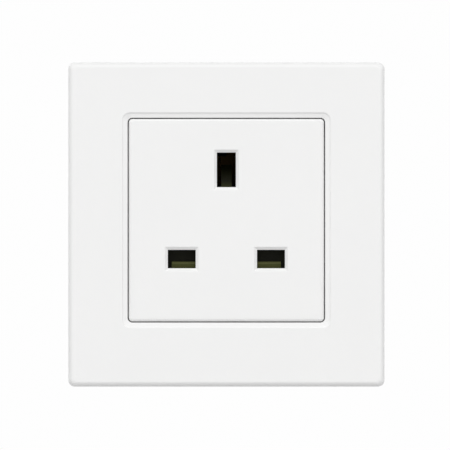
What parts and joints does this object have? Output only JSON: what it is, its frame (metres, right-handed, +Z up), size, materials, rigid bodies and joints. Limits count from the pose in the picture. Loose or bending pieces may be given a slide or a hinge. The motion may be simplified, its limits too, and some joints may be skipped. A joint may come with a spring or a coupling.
{
  "type": "wall socket",
  "caption": "Square flush wall socket for a flat-pin plug: plain cover frame, insert with rectangular slots, safety shutter, brass contacts and screw terminals.",
  "frame": {"origin": "midway between the two box screws, on the face of the wall", "axes": "+X to the right and +Z up for someone who faces the socket, -Y from the wall towards the room"},
  "size_m": [0.079, 0.0325, 0.081],
  "materials": {
    "white_plastic": "satin white thermoplastic",
    "housing_plastic": "dark moulded thermoset",
    "shutter_plastic": "olive black moulding",
    "zinc_steel": "zinc-plated sheet",
    "spring_steel": "drawn wire",
    "screw_steel": "yellow zinc",
    "brass": "bare brass"
  },
  "bodies": {
    "socket": {"cover_frame": "white_plastic", "face_plate": "white_plastic", "mounting_strap": "zinc_steel", "base_housing": "housing_plastic", "housing_sides": "housing_plastic", "housing_ends": "housing_plastic", "housing_partitions": "housing_plastic", "housing_bosses": "housing_plastic", "housing_seats": "housing_plastic", "contact_cover": "housing_plastic", "shutter_spring": "spring_steel", "line_contact": "brass", "neutral_contact": "brass", "earth_contact": "brass", "line_terminal": "brass", "neutral_terminal": "brass", "earth_terminal": "brass", "cover_screws": "screw_steel", "strap_screws": "screw_steel", "earth_link": "brass", "earth_link_rivets": "brass"},
    "shutter": {"safety_shutter": "shutter_plastic"},
    "line_screw": {"line_terminal_screw": "screw_steel"},
    "neutral_screw": {"neutral_terminal_screw": "screw_steel"},
    "earth_screw": {"earth_terminal_screw": "screw_steel"}
  },
  "joints": [
    {"name": "shutter_slide", "type": "slide", "parent": "socket", "child": "shutter", "axis": [0, 0, -1], "range_m": [0, 0.0055], "stiffness_N_per_m": 150, "springref_m": -0.004, "deforming": ["shutter_spring"]},
    {"name": "line_clamp", "type": "slide", "parent": "socket", "child": "line_screw", "axis": [0, -1, 0], "range_m": [0, 0.0025]},
    {"name": "neutral_clamp", "type": "slide", "parent": "socket", "child": "neutral_screw", "axis": [0, -1, 0], "range_m": [0, 0.0025]},
    {"name": "earth_clamp", "type": "slide", "parent": "socket", "child": "earth_screw", "axis": [0, -1, 0], "range_m": [0, 0.0025]}
  ]
}
